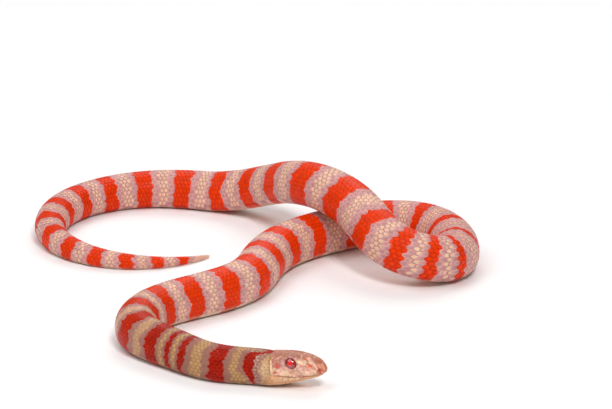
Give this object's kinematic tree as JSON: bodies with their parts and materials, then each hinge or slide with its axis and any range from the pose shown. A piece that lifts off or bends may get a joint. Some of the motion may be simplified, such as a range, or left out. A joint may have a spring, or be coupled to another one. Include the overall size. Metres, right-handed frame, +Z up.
{
  "type": "milk snake",
  "caption": "Slender ringed snake resting on a level floor in loose bends, its body arched over itself, with a small blunt head and a tapered tail; a still display model.",
  "frame": {"origin": "middle of the pose's footprint, at floor level", "axes": "+X across the pose to the viewer's right, +Y away from the viewer, +Z up"},
  "size_m": [0.084, 0.1064, 0.0165],
  "materials": {
    "head_skin": "satin",
    "jaw_skin": "satin",
    "body_skin": "satin",
    "tail_skin": "satin",
    "eye_skin": "gloss"
  },
  "bodies": {
    "root": {"head": "head_skin", "lower_jaw": "jaw_skin", "eye_left": "eye_skin", "eye_right": "eye_skin", "neck": "body_skin", "body_1": "body_skin", "body_2": "body_skin", "body_3": "body_skin", "body_4": "body_skin", "body_5": "body_skin", "body_6": "body_skin", "body_7": "body_skin", "body_8": "body_skin", "body_9": "body_skin", "body_10": "body_skin", "tail": "tail_skin"}
  },
  "joints": []
}
